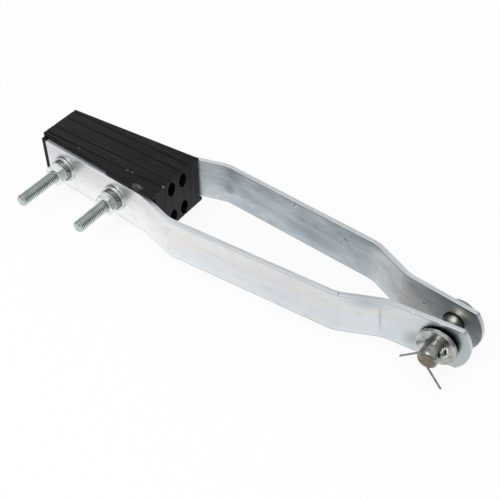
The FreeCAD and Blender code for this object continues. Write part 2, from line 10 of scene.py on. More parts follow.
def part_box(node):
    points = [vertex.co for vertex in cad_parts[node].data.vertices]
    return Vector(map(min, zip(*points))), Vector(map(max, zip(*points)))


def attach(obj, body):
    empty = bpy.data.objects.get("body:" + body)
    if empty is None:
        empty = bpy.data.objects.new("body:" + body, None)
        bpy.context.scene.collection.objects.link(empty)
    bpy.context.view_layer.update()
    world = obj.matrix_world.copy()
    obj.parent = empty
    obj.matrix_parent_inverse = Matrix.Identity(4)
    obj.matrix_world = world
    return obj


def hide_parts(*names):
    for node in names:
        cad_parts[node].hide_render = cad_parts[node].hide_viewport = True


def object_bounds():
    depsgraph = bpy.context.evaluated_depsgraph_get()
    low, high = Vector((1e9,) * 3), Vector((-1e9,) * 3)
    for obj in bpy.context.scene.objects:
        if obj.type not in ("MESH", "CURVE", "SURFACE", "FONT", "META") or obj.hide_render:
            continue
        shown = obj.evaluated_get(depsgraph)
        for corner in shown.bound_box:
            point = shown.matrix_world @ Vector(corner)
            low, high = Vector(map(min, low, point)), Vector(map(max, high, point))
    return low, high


# Looks of an anchor clamp for a four-core aerial cable. The frame stands at the middle
# of the clevis pin: +X runs from the jaws to the clevis, +Z is up, and the threads and
# nuts are on the near side, -Y. Shapes are worked out in millimetres and then scaled.

bl_info = {
    "name": "Anchor Clamp Looks",
    "version": (1, 0, 0),
    "blender": (4, 5, 0),
    "location": "3D View > Sidebar > Clamp",
    "description": "Dresses the anchor clamp: straps, jaws, bolts, clevis and stage",
    "category": "Object",
}

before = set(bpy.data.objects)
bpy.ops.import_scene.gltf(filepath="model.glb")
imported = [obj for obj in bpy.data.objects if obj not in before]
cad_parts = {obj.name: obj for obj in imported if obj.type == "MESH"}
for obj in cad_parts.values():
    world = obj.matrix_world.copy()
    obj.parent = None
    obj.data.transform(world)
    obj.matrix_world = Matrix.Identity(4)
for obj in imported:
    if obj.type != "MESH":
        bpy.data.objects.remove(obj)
CAD_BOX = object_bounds()

MM = 0.001
ROUND = 96  # facets round a turned piece
STRAPS = {"near_strap": "near_side", "far_strap": "far_side"}
PLASTICS = ("near_wedge", "far_wedge", "near_jaw", "middle_jaw", "far_jaw")
BOLTS = ("tail", "front")


# Colours


def linear(hex_colour):
    """An sRGB hex value as the linear colour that shaders take."""
    parts = [int(hex_colour[i:i + 2], 16) / 255 for i in (1, 3, 5)]
    return [c / 12.92 if c <= 0.04045 else ((c + 0.055) / 1.055) ** 2.4 for c in parts] + [1.0]


def shade(value):
    """The colour of a hex value or of a grey's brightness; anything else as it is."""
    if isinstance(value, str):
        return linear(value)
    return (value, value, value, 1.0) if isinstance(value, float) else value


# Sizes and colours that a user would change


def size_in_mm(name, description, default, least):
    return FloatProperty(
        name=name, description=f"{description}, in millimetres", default=default, min=least,
    )


def colour_setting(name, description, default):
    return FloatVectorProperty(
        name=name, description=description, default=linear(default), size=4, min=0.0,
        max=1.0, subtype="COLOR",
    )


def share_setting(name, description, default, most=1.0):
    return FloatProperty(
        name=name, description=description, default=default, min=0.0, max=most,
        subtype="FACTOR",
    )


def angle_setting(name, description, degrees):
    return FloatProperty(
        name=name, description=description, default=math.radians(degrees), subtype="ANGLE",
        unit="ROTATION",
    )


class StrapLooks(PropertyGroup):
    """The two straps, bent from galvanised flat bar"""

    thickness: size_in_mm("Thickness", "Thickness of the flat bar", 3.0, 1.0)
    bend_radius: size_in_mm("Bend radius", "Radius of the bends at mid thickness", 22.0, 2.0)
    edge_round: size_in_mm("Edge rounding", "Rounding of the sheared edges", 0.35, 0.05)
    roughness: share_setting("Roughness", "Roughness of the outer faces", 0.34, 0.7)
    inward: colour_setting("Inward colour", "Dull zinc on the faces turned inwards", "#C8D1D7")
    edge: colour_setting("Edge colour", "Zinc on the sheared edges", "#E2E6E9")


class JawLooks(PropertyGroup):
    """The moulded block"""

    edge_round: size_in_mm("Edge rounding", "Rounding of the moulded edges", 0.06, 0.02)
    plastic: colour_setting("Plastic", "Black weather-resistant polyamide", "#0F1011")
    end: colour_setting("Sawn ends", "Greyer plastic on the ends of the block", "#333134")
    wear_and_highlight: colour_setting("Rubbed plastic", "Chalky grey where the plastic is rubbed", "#8E8F90")


class FastenerLooks(PropertyGroup):
    """Bolts, nuts and washers"""

    pitch: size_in_mm("Thread pitch", "Pitch of the M8 thread", 1.25, 0.5)
    thread_depth: size_in_mm("Thread depth", "From crest to root", 0.7, 0.1)
    flats: size_in_mm("Across flats", "Size of the hexagons", 13.0, 5.0)
    zinc: colour_setting("Zinc", "Bright plating of the fasteners", "#E7EEEA")
    # painted shade with oil in the thread roots
    thread_shade: colour_setting("Thread roots", "Duller plating down in the thread", "#79827D")


class ClevisLooks(PropertyGroup):
    """Clevis pin, its washer and its split pin"""

    pin_radius: size_in_mm("Pin radius", "Radius of the clevis pin", 6.0, 2.0)
    wire_radius: size_in_mm("Wire radius", "Radius of the split pin's wire", 0.62, 0.2)
    steel: colour_setting("Pin steel", "Oiled turned steel", "#959791")
    pin_end: colour_setting(
        "Pin end", "Steel browned by oil on the end of the clevis pin", "#86796D",
    )
    wire: colour_setting("Wire steel", "Drawn steel wire", "#97958F")


class StageLooks(PropertyGroup):
    """Floor, light and camera"""

    target: FloatVectorProperty(
        name="Target", description="Point that the camera looks at",
        default=(-0.1255, -0.01154, 0.0), subtype="TRANSLATION", unit="LENGTH",
    )
    azimuth: angle_setting("Azimuth", "Camera's turn round the clamp", 35.43)
    elevation: angle_setting("Elevation", "Camera's height above the horizon", 44.95)
    roll: angle_setting("Roll", "Camera's roll", -0.16)
    distance: FloatProperty(
        name="Distance", description="From the camera to its target", default=0.557,
        subtype="DISTANCE", unit="LENGTH",
    )
    lens: FloatProperty(
        name="Lens", description="Focal length on a 36 mm sensor, in millimetres",
        default=66.86,
    )
    floor: colour_setting("Floor", "Plain pale floor", "#FAFAFA")
    floor_lift: share_setting(
        "Floor lift", "Share of plain white in what is seen of the floor", 0.9,
    )
    walls: colour_setting("Walls", "Dimmer walls of the light tent", "#85888B")
    ceiling: colour_setting("Ceiling", "White top of the light tent", "#FFFFFF")
    front_power: FloatProperty(
        name="Front softbox", description="Power of the front softbox, in watts",
        default=8.0, min=0.0,
    )
    back_power: FloatProperty(
        name="Back softbox", description="Power of the softbox behind the clamp, in watts",
        default=1.5, min=0.0,
    )


class ClampLooks(PropertyGroup):
    """Everything that can be set on the clamp"""

    strap: PointerProperty(type=StrapLooks)
    jaw: PointerProperty(type=JawLooks)
    fastener: PointerProperty(type=FastenerLooks)
    clevis: PointerProperty(type=ClevisLooks)
    stage: PointerProperty(type=StageLooks)


# Nodes and materials


def add(tree, kind, settings=None):
    """Add a node with its settings and links. A setting is a property, the stops of a
    colour ramp or an input. An input takes a value, or a link from a socket or from
    the first output in use of another node."""
    node = tree.nodes.new(kind)
    for name, value in (settings or {}).items():
        if isinstance(value, bpy.types.Node):
            value = next(output for output in value.outputs if output.enabled)
        if name == "stops":
            stops = node.color_ramp.elements
            value = [(position, shade(colour)) for position, colour in value]
            stops[0].position, stops[0].color = value[0]
            stops[1].position, stops[1].color = value[-1]
            for position, colour in value[1:-1]:
                stops.new(position).color = colour
        elif isinstance(value, bpy.types.NodeSocket):
            tree.links.new(value, node.inputs[name])
        elif isinstance(name, str) and name in node.bl_rna.properties:
            setattr(node, name, value)
        else:
            node.inputs[name].default_value = value
    return node


def new_material(name):
    material = bpy.data.materials.new(name)
    material.use_nodes = True
    material.node_tree.nodes.clear()
    return material, material.node_tree


def finish_material(material, height, strength, depth, settings):
    """End a material with bumps of a strength and a depth in millimetres, and its shader."""
    tree = material.node_tree
    bump = add(tree, "ShaderNodeBump", {
        "Strength": strength, "Distance": depth * MM, "Height": height,
    })
    shader = add(tree, "ShaderNodeBsdfPrincipled", {**settings, "Normal": bump})
    add(tree, "ShaderNodeOutputMaterial", {"Surface": shader})
    return material


def split_axes(tree, output):
    """X, Y and Z of where a point lies or faces."""
    source = add(tree, "ShaderNodeTexCoord").outputs[output]
    return add(tree, "ShaderNodeSeparateXYZ", {"Vector": source}).outputs


def coordinates_in_mm(tree, output, scale=(1.0, 1.0, 1.0), shift=(0.0, 0.0, 0.0)):
    """Object or UV coordinates, turned from metres to millimetres and stretched."""
    source = add(tree, "ShaderNodeTexCoord").outputs[output]
    per_metre = [factor / MM for factor in scale]
    return add(tree, "ShaderNodeMapping", {
        "Vector": source, "Scale": per_metre, "Location": shift,
    })


FULL_RANGE = [(0.0, 0.0), (1.0, 1.0)]


def mottled(tree, output, spread, stops, detail=3.0, shift=(0.0, 0.0, 0.0)):
    """Shades from a noise pattern whose patches spread so many millimetres each way."""
    scale = [1 / size for size in spread]
    noise = add(tree, "ShaderNodeTexNoise", {
        "Scale": 1.0, "Detail": detail, "Roughness": 0.6,
        "Vector": coordinates_in_mm(tree, output, scale, shift),
    })
    return add(tree, "ShaderNodeValToRGB", {"stops": stops, "Fac": noise})


def oval_mask(tree, centre, half_size, turn=(0.0, 0.0, 0.0), full=0.55):
    """A mask that is 1 inside an oval placed and sized in millimetres and turned by
    degrees, and that fades out from a share of its radius to its rim."""
    oval = add(tree, "ShaderNodeMapping", {
        "vector_type": "TEXTURE",
        "Vector": add(tree, "ShaderNodeTexCoord").outputs["Object"],
        "Location": [c * MM for c in centre],
        "Rotation": [math.radians(angle) for angle in turn],
        "Scale": [h * MM for h in half_size],
    })
    distance = add(tree, "ShaderNodeVectorMath", {"operation": "LENGTH", 0: oval})
    return add(tree, "ShaderNodeMapRange", {
        "Value": distance, "From Min": full, "From Max": 1.0, "To Min": 1.0, "To Max": 0.0,
    })


def lay_over(tree, colour, layers):
    """Lay colours over a colour in turn. Each layer is how far it covers, its colour and,
    where it isn't simply mixed in, how it blends."""
    for share, laid, *blend in layers:
        colour = add(tree, "ShaderNodeMix", {
            "data_type": "RGBA", "blend_type": blend[0] if blend else "MIX",
            0: share, 6: shade(colour), 7: shade(laid),
        })
    return colour


def stained(tree, output, colour, stains, shift=(0.0, 0.0, 0.0)):
    """Lay mottled stains over a colour. Each is how many millimetres its patches spread
    each way, the noise where it begins and is full, its strength, detail and colour."""
    for spread, begin, full, strength, detail, stain in stains:
        stops = [(begin, 0.0), (full, strength)]
        patches = mottled(tree, output, spread, stops, detail, shift)
        colour = lay_over(tree, colour, [(patches, stain)])
    return colour


# Parts of the bar, unrolled (X runs along it from the tail end, Y across it) or bent:
# the millimetre where each begins to show, the one where it is full, and its strength
BAR_PARTS = {
    "length": ("UV", "X", 0.0, 310.0, 1.0),
    "width": ("UV", "Y", -15.0, 15.0, 1.0),
    # tail and lower_half place the painted highlight low down, and the painted light on the line
    # under the upper edge
    "tail": ("UV", "X", 125.0, 85.0, 1.0),
    # jaws places painted reflected light on the inward faces beside the jaws
    "jaws": ("UV", "X", 110.0, 96.0, 0.9),
    "wiped_ear": ("UV", "X", 262.0, 284.0, 0.9),
    "lower_half": ("UV", "Y", 11.0, -8.0, 1.0),
    "low_strip": ("UV", "Y", -4.0, -15.0, 0.28),
    "upper_edge": ("Object", "Z", 13.0, 15.0, 1.0),
    # painted shade along the lower edge
    "painted_shade_low_edge": ("Object", "Z", -14.1, -14.8, 0.85),
}


def outer_zinc(tree, part, start, shift):
    """Outer faces: pale bands of the chromate coat, stained, wiped off the ear, with painted shade
    along the bar and a painted highlight low beside the jaws.
    """
    # the bands run along the bar and wander slowly across it
    wander = mottled(tree, "UV", (70, 25, 1), [(0.3, -0.1), (0.7, 0.1)], 2.0, shift)
    across = add(tree, "ShaderNodeMath", {"operation": "ADD", 0: part["width"], 1: wander})
    bands = add(tree, "ShaderNodeValToRGB", {
        "stops": [
            (0.04, "#EFF4F7"), (0.22, "#E9EFF3"), (0.40, "#E2E9EE"), (0.58, "#E9EAF1"),
            (0.73, "#E8E6E3"), (0.90, "#ECEDED"),
        ],
        "Fac": across,
    })
    # painted shade along the bar: a little darker at the tail, brightest a third of the way along,
    # darkest and bluest at the ear
    painted_shade_along_bar = add(tree, "ShaderNodeValToRGB", {
        "stops": [
            (0.08, 0.85), (0.33, 1.0), (0.45, 0.98), (0.58, 0.91), (0.70, "#EFF2F3"),
            (0.82, "#EFF2F5"), (0.90, "#E6EAEC"), (0.97, "#CBD1D2"),
        ],
        "Fac": part["length"],
    })
    # straw and lilac stains, 10 to 40 mm long
    colour = stained(tree, "UV", bands, [((38, 8, 1), 0.50, 0.68, 0.7, 3.0, "#F1E9E0")], shift)
    lilac = [((26, 11, 1), 0.52, 0.70, 0.5, 3.0, "#DDDFEE")]
    colour = stained(tree, "UV", colour, lilac, (40.0, start, 0.0))
    # painted highlight: beside the jaws the lower half is lit nearly white
    painted_highlight_low = add(tree, "ShaderNodeMath", {
        "operation": "MULTIPLY", 0: part["tail"], 1: part["lower_half"],
    })
    return lay_over(tree, colour, [
        (part["wiped_ear"], "#E4EAEA"), (1.0, painted_shade_along_bar, "MULTIPLY"), (painted_highlight_low, "#FDFDFD"),
    ])


def inner_zinc(tree, part, looks, shift):
    """Inward faces: dull and grey in clouds some 15 mm across, under painted shade along the bar,
    with painted reflected light beside the jaws.
    """
    clouds = mottled(
        tree, "UV", (22, 9, 1), [(0.32, "#AEB8C0"), (0.52, looks.inward), (0.70, "#DDE4E9")],
        5.0, shift,
    )
    # painted shade along the bar, darkest at the ear, with warmer tints at the neck
    depth = add(tree, "ShaderNodeValToRGB", {
        "stops": [
            (0.33, 0.95), (0.375, 0.97), (0.42, 0.92), (0.60, 0.83), (0.71, 0.82),
            (0.77, "#FFFAF4"), (0.82, "#EAE2DB"), (0.88, "#D2CCC8"), (0.96, 0.52),
        ],
        "Fac": part["length"],
    })
    # a lighter strip along the bottom, and painted reflected light beside the jaws
    colour = lay_over(tree, clouds, [
        (1.0, depth, "MULTIPLY"), (part["low_strip"], "#DDE6EB"), (part["jaws"], "#F2F8FB"),
    ])
    # pits some 1.5 mm across, and scratches half a millimetre wide from handling
    return stained(tree, "UV", colour, [
        ((1.6, 1.1, 1), 0.64, 0.72, 0.8, 2.0, "#6E777E"),
        ((14, 0.5, 1), 0.62, 0.70, 0.45, 3.0, "#79838A"),
    ], shift)


def sheared_zinc(tree, flatness, looks, shift):
    """Sheared edges: finely streaked along the bar, with painted highlights on both rounded
    arrises.
    """
    streaks = [(0.35, "#C0C5C9"), (0.65, looks.edge)]
    sheared = mottled(tree, "UV", (25, 0.6, 1), streaks, 3.0, shift)
    # painted highlights where the sheared edge rounds into the faces
    rubbed = add(tree, "ShaderNodeValToRGB", {
        "stops": [(0.22, 0.0), (0.42, 1.0)], "Fac": flatness,
    })
    return lay_over(tree, sheared, [(rubbed, "#F4F5F6")])


def zinc_on_flat_bar(name, looks, start, marks):
    """Cold-rolled flat bar with bright zinc. The rolled faces are pale and faintly
    banded in straw and blue along the bar, the faces turned inwards are dull and
    mottled, and the sheared edges are grey between two painted highlights.
    The patterns start elsewhere on each bar, and marks are as in MARKS."""
    material, tree = new_material(name)
    shift = (start, start / 3, 0.0)
    part = {
        where: add(tree, "ShaderNodeMapRange", {
            "Value": split_axes(tree, output)[axis],
            "From Min": begin * MM, "From Max": full * MM, "To Max": strength,
        })
        for where, (output, axis, begin, full, strength) in BAR_PARTS.items()
    }
    inward = add(tree, "ShaderNodeAttribute", {"attribute_name": "inward"}).outputs["Fac"]
    # rolling streaks, some 60 mm long and a millimetre wide
    streaks = mottled(tree, "UV", (60, 1.3, 1), [(0.34, 0.93), (0.64, 1.0)], 4.0, shift)
    face = lay_over(tree, outer_zinc(tree, part, start, shift), [
        (inward, inner_zinc(tree, part, looks, shift)), (1.0, streaks, "MULTIPLY"),
    ])
    # drops of passivation and handling marks, 5 to 10 mm
    face = stained(tree, "UV", face, [((9, 6, 1), 0.52, 0.74, 0.35, 5.0, "#B4BABF")], shift)
    # the edges and the tip are told from the faces by their direction
    flatness = add(tree, "ShaderNodeMath", {
        "operation": "ABSOLUTE", 0: split_axes(tree, "Normal")["Y"],
    })
    on_face = add(tree, "ShaderNodeMapRange", {
        "Value": flatness, "From Min": 0.80, "From Max": 0.93,
    })
    # a fine painted line under the upper edge: painted highlight beside the jaws, painted shade
    # beyond them
    painted_edge_line = add(tree, "ShaderNodeValToRGB", {
        "stops": [(0.35, 0.0), (0.62, 0.7), (0.80, 0.0)], "Fac": part["upper_edge"],
    })
    line = lay_over(tree, "#7F868A", [(part["tail"], "#FCFCFC")])
    # painted shade: a dark line along the lower edges
    colour = lay_over(tree, sheared_zinc(tree, flatness, looks, shift), [
        (on_face, face), (part["painted_shade_low_edge"], "#7C8286"), (painted_edge_line, line),
        *((oval_mask(tree, *oval), stain) for *oval, stain in marks),
    ])
    polish = add(tree, "ShaderNodeMapRange", {
        "Value": inward, "To Min": looks.roughness, "To Max": looks.roughness + 0.22,
    })
    # orange-peel of the bar under the zinc, a few hundredths of a millimetre deep
    grain = mottled(tree, "UV", (3.5, 1.2, 1), FULL_RANGE, 4.0, shift)
    return finish_material(material, grain, 0.35, 0.06, {
        "Metallic": 1.0, "Base Color": colour, "Roughness": polish,
    })


def black_polyamide(looks):
    """Glass-filled polyamide from the mould: satin black, drawn into fine lengthwise
    streaks by the flow, a little greyer on the cut ends, and rubbed chalky in places."""
    material, tree = new_material("moulded_black_polyamide")
    flow = mottled(
        tree, "Object", (30, 2.2, 2.2),
        [(0.32, "#080809"), (0.50, looks.plastic), (0.70, "#1E1E1F")], 5.0,
    )
    # upright bands on the ends, where the runners were sawn off
    bands = [(0.35, "#1A1A1C"), (0.65, looks.end)]
    saw_bands = mottled(tree, "Object", (9, 1.4, 30), bands)
    end_on = add(tree, "ShaderNodeMath", {
        "operation": "ABSOLUTE", 0: split_axes(tree, "Normal")["X"],
    })
    on_end = add(tree, "ShaderNodeMapRange", {
        "Value": end_on, "From Min": 0.75, "From Max": 0.95,
    })
    # tufts of glass fibre at the surface, and scratches under half a millimetre wide
    colour = stained(tree, "Object", lay_over(tree, flow, [(on_end, saw_bands)]), [
        ((2.2, 0.35, 0.35), 0.70, 0.78, 0.35, 3.0, "#3C3D3E"),
        ((70, 0.45, 0.45), 0.60, 0.74, 0.3, 2.0, "#38393A"),
    ])
    chalk = mottled(tree, "Object", (1.2, 1.2, 1.2), [(0.42, 0.0), (0.60, 0.8)])
    for place, half_size in RUBBED_PLACES:
        patch = oval_mask(tree, place, half_size)
        rubbed = lay_over(tree, chalk, [(1.0, patch, "MULTIPLY")])
        colour = lay_over(tree, colour, [(rubbed, looks.wear_and_highlight)])
    height = mottled(tree, "Object", (20, 0.6, 0.6), FULL_RANGE, 5.0)
    return finish_material(material, height, 0.35, 0.08, {
        "IOR": 1.53, "Roughness": 0.50, "Specular IOR Level": 0.12, "Base Color": colour,
    })


def plated_steel(name, shades, roughness, painted_light_attribute=None):
    """Barrel-plated or drawn steel: three shades in small clouds, with fine dents.
    painted_light_attribute is (attribute, colour): how far that attribute shows and in what
    colour, for painted shade with oil in thread roots and a painted highlight on a split pin's
    eye."""
    material, tree = new_material(name)
    colour = mottled(tree, "Object", (5, 5, 5), list(zip((0.30, 0.5, 0.70), shades)), 4.0)
    if painted_light_attribute:
        attribute = add(tree, "ShaderNodeAttribute", {"attribute_name": painted_light_attribute[0]})
        colour = lay_over(tree, colour, [(attribute.outputs["Fac"], painted_light_attribute[1])])
    dents = mottled(tree, "Object", (0.9, 0.9, 0.9), FULL_RANGE)
    return finish_material(material, dents, 0.25, 0.04, {
        "Metallic": 1.0, "Roughness": roughness, "Base Color": colour,
    })


def oiled_turned_steel(looks):
    """Plain steel off the lathe under a coat of oil: fine rings round the pin, and an
    end face browned by the oil, with the tool's rings on it."""
    material, tree = new_material("oiled_turned_steel")
    side = mottled(
        tree, "Object", (30, 0.7, 30),
        [(0.30, "#6F716D"), (0.50, looks.steel), (0.70, "#B4B6B0")], 4.0,
    )
    side = stained(tree, "Object", side, [((3.0, 2.0, 3.0), 0.48, 0.66, 0.6, 4.0, "#55564F")])
    # painted highlight on the pin between the ears
    wear_and_highlight = oval_mask(tree, (-0.2, 3.9, 5.9), (3.4, 3.0, 2.6), full=0.4)
    side = lay_over(tree, side, [(wear_and_highlight, "#FBFBF8")])
    rings = add(tree, "ShaderNodeTexWave", {
        "wave_type": "RINGS", "rings_direction": "Y", "Scale": 0.34, "Distortion": 0.7,
        "Vector": coordinates_in_mm(tree, "Object"),
    }).outputs["Fac"]
    browned = add(tree, "ShaderNodeValToRGB", {
        "stops": [(0.1, "#5C554D"), (0.9, looks.pin_end)], "Fac": rings,
    })
    # the oil has dried in spots a millimetre wide
    spots = [((1.1, 1.1, 1.1), 0.50, 0.66, 0.7, 4.0, "#BFB4A9")]
    end_face = stained(tree, "Object", browned, spots)
    on_end = add(tree, "ShaderNodeMapRange", {
        "Value": split_axes(tree, "Normal")["Y"], "From Min": -0.80, "From Max": -0.96,
    })
    roughness = add(tree, "ShaderNodeMapRange", {
        "Value": on_end, "To Min": 0.26, "To Max": 0.48,
    })
    return finish_material(material, rings, 0.4, 0.04, {
        "Metallic": 1.0, "Base Color": lay_over(tree, side, [(on_end, end_face)]),
        "Roughness": roughness,
    })


# Shapes


def ring_of(mesh, profile, angle):
    """Points of a (radius, height) profile turned by an angle about Z."""
    return [mesh.verts.new((r * math.cos(angle), r * math.sin(angle), z)) for r, z in profile]


def join_rings(mesh, rings):
    """Join neighbouring profiles by quads."""
    for ring, following in zip(rings, rings[1:]):
        for index, point in enumerate(ring):
            after = (index + 1) % len(ring)
            mesh.faces.new((point, following[index], following[after], ring[after]))


def facing_out(mesh):
    bmesh.ops.recalc_face_normals(mesh, faces=mesh.faces)
    return mesh


def capped(mesh, rings):
    """Join profiles into a bar and close its two ends."""
    join_rings(mesh, rings)
    mesh.faces.new(rings[0])
    mesh.faces.new(rings[-1])
    return facing_out(mesh)


def closed(mesh, rings, merge=1e-5):
    """Join profiles all the way round, and merge the points that meet."""
    join_rings(mesh, rings + rings[:1])
    bmesh.ops.remove_doubles(mesh, verts=mesh.verts, dist=merge)
    return facing_out(mesh)


def turned(profile, steps=ROUND):
    """A ring or disc turned about Z from (radius, height) pairs, closed on itself."""
    mesh = bmesh.new()
    rings = [ring_of(mesh, profile, math.tau * step / steps) for step in range(steps)]
    return closed(mesh, rings)


def cylinder(radius, low, high, steps=ROUND):
    return turned([(0.0, low), (radius, low), (radius, high), (0.0, high)], steps)


def rotated(mesh, degrees, axis):
    mesh.transform(Matrix.Rotation(math.radians(degrees), 4, axis))
    return mesh


def into_place(mesh, x, y, z=0.0):
    """Lay a shape made along +Z on its side, so that it points to -Y, at a place."""
    turn = Matrix.Rotation(math.radians(90), 4, "X")
    mesh.transform(Matrix.Translation((x, y, z)) @ turn)
    return mesh


def in_scene(name, data):
    made = bpy.data.objects.new(name, data)
    bpy.context.scene.collection.objects.link(made)
    return made


def as_object(name, mesh):
    """Turn a shape into an object."""
    data = bpy.data.meshes.new(name)
    mesh.to_mesh(data)
    mesh.free()
    return in_scene(name, data)


def shade_evenly(piece):
    """Take the shading of rounded edges from the flat faces beside them."""
    weighted = piece.modifiers.new("even_faces", "WEIGHTED_NORMAL")
    weighted.keep_sharp = True


def new_piece(name, body, mesh, material, replaced, sharp=35.0):
    """Turn a shape in millimetres into a piece of the clamp."""
    mesh.transform(Matrix.Scale(MM, 4))
    piece = as_object(name, mesh)
    piece.data.shade_smooth()
    piece.data.set_sharp_from_angle(angle=math.radians(sharp))
    piece.data.materials.append(material)
    shade_evenly(piece)
    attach(piece, body)
    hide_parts(replaced)


def cut_holes(mesh, cutters):
    """Subtract shapes from a shape, all in millimetres."""
    objects = [as_object("work", shape) for shape in [mesh] + cutters]
    for cutter in objects[1:]:
        cut = objects[0].modifiers.new("cut", "BOOLEAN")
        cut.operation = "DIFFERENCE"
        cut.solver = "EXACT"
        cut.object = cutter
    graph = bpy.context.evaluated_depsgraph_get()
    result = bmesh.new()
    result.from_mesh(objects[0].evaluated_get(graph).to_mesh())
    for work in objects:
        data = work.data
        bpy.data.objects.remove(work)
        bpy.data.meshes.remove(data)
    return result


def round_sharp_edges(mesh, width, least=50.0, steps=2):
    """Round every edge sharper than an angle."""
    sharp = [
        edge for edge in mesh.edges
        if len(edge.link_faces) == 2 and edge.calc_face_angle(0.0) > math.radians(least)
    ]
    bmesh.ops.bevel(
        mesh, geom=sharp, offset=width, segments=steps, profile=0.5,
        affect="EDGES", clamp_overlap=True,
    )


# Straps, in millimetres

# the far strap's outer face from the tail to the ear, as if its bends were sharp
STRAP_CORNERS = [
    (-284.6, 18.7), (-198.9, 23.95), (-172.5, 31.9), (-58.3, 25.1), (-32.1, 13.3), (17.8, 8.74),
]
STRAP_HALF_WIDTH = 15.0
BOLT_PLACES = (-269.2, -223.5)
BOLT_HOLE_RADIUS = 5.0
PIN_HOLE_RADIUS = 6.8
EAR_RADIUS = 21.0
EAR_CENTRE = -3.2
BEND_STEPS = 10
EAR_STEPS = 48
CUTTER_REACH = 5.0
HALVINGS = 50


def beside(direction):
    """The direction at right angles, to the left."""
    return Vector((-direction.y, direction.x))


class BentBar:
    """The middle line of a bent bar: straight runs joined by arcs."""

    def __init__(self, corners, inset, radius):
        points = self.inset_line([Vector(corner) for corner in corners], inset)
        self.runs = []
        self.length = 0.0
        start = points[0]
        for before, corner, after in zip(points, points[1:], points[2:]):
            arriving = (corner - before).normalized()
            leaving = (after - corner).normalized()
            turn = arriving.angle_signed(leaving)
            reach = radius * math.tan(abs(turn) / 2)
            self.add_run(start, arriving, (corner - start).length - reach, 0.0)
            self.add_run(corner - arriving * reach, arriving, radius * abs(turn), -turn)
            start = corner + leaving * reach
        self.add_run(start, leaving, (points[-1] - start).length, 0.0)

    @staticmethod
    def inset_line(corners, inset):
        """Shift each run sideways by the same amount and join the runs again."""
        normals = [
            beside((end - start).normalized()) for start, end in zip(corners, corners[1:])
        ]
        points = [corners[0] - normals[0] * inset]
        for corner, first, second in zip(corners[1:], normals, normals[1:]):
            halfway = (first + second).normalized()
            points.append(corner - halfway * (inset / halfway.dot(first)))
        points.append(corners[-1] - normals[-1] * inset)
        return points

    def add_run(self, start, direction, length, turn):
        self.runs.append((self.length, start.copy(), direction.copy(), length, turn))
        self.length += length

    def spot(self, distance):
        """Place and outward normal at a distance along the bar."""
        for begin, start, direction, length, turn in self.runs:
            if distance <= begin + length or begin + length >= self.length:
                break
        travel = distance - begin
        normal = beside(direction)
        if turn == 0.0:
            return start + direction * travel, normal
        angle = turn * travel / length
        radius = length / turn
        place = start + direction * (radius * math.sin(angle))
        place += normal * (radius * (1 - math.cos(angle)))
        return place, normal * math.cos(angle) - direction * math.sin(angle)

    def distance_at(self, x):
        """Distance along the bar at which it passes an X place."""
        low, high = 0.0, self.length
        for _ in range(HALVINGS):
            middle = (low + high) / 2
            if self.spot(middle)[0].x < x:
                low = middle
            else:
                high = middle
        return low


def flat_strap(bar, looks):
    """The strap before bending: length along X, thickness along Y, holes cut."""
    half = looks.thickness / 2
    columns = [0.0]
    for begin, _, _, length, turn in bar.runs:
        if turn != 0.0:
            columns += [begin + length * step / BEND_STEPS for step in range(BEND_STEPS + 1)]
    ear = bar.distance_at(EAR_CENTRE)
    columns.append(ear + math.sqrt(EAR_RADIUS ** 2 - STRAP_HALF_WIDTH ** 2))
    swing = math.asin(STRAP_HALF_WIDTH / EAR_RADIUS)
    tip = [
        (ear + EAR_RADIUS * math.cos(a), EAR_RADIUS * math.sin(a))
        for a in [swing * (1 - 2 * step / EAR_STEPS) for step in range(1, EAR_STEPS)]
    ]
    mesh = bmesh.new()
    sides = []
    for y in (-half, half):
        upper = [mesh.verts.new((x, y, STRAP_HALF_WIDTH)) for x in columns]
        lower = [mesh.verts.new((x, y, -STRAP_HALF_WIDTH)) for x in columns]
        round_end = [mesh.verts.new((x, y, z)) for x, z in tip]
        for index in range(len(columns) - 1):
            mesh.faces.new((upper[index], upper[index + 1], lower[index + 1], lower[index]))
        mesh.faces.new([upper[-1]] + round_end + [lower[-1]])
        sides.append(upper + round_end + lower[::-1])
    for index in range(len(sides[0])):
        after = (index + 1) % len(sides[0])
        mesh.faces.new((sides[0][index], sides[0][after], sides[1][after], sides[1][index]))
    cutters = []
    holes = [(x, BOLT_HOLE_RADIUS) for x in BOLT_PLACES] + [(0.0, PIN_HOLE_RADIUS)]
    for x, radius in holes:
        cutter = cylinder(radius, -CUTTER_REACH, CUTTER_REACH)
        cutters.append(into_place(cutter, bar.distance_at(x), 0.0))
    mesh = cut_holes(facing_out(mesh), cutters)
    round_sharp_edges(mesh, looks.edge_round)
    return mesh


def bent_strap(looks, side):
    """Bend the flat strap; side is 1 for the far strap and -1 for the near one."""
    bar = BentBar(STRAP_CORNERS, looks.thickness / 2, looks.bend_radius)
    mesh = flat_strap(bar, looks)
    unrolled = mesh.loops.layers.uv.new("along_the_bar")
    inward = mesh.verts.layers.float.new("inward")
    for face in mesh.faces:
        for loop in face.loops:
            place = loop.vert.co
            loop[unrolled].uv = (place.x * MM, (place.z * side + place.y) * MM)
    for vertex in mesh.verts:
        vertex[inward] = 1.0 if vertex.co.y < 0.0 else 0.0
        place, normal = bar.spot(vertex.co.x)
        flat = place + normal * vertex.co.y
        vertex.co = (flat.x, flat.y * side, vertex.co.z * side)
    return facing_out(mesh)


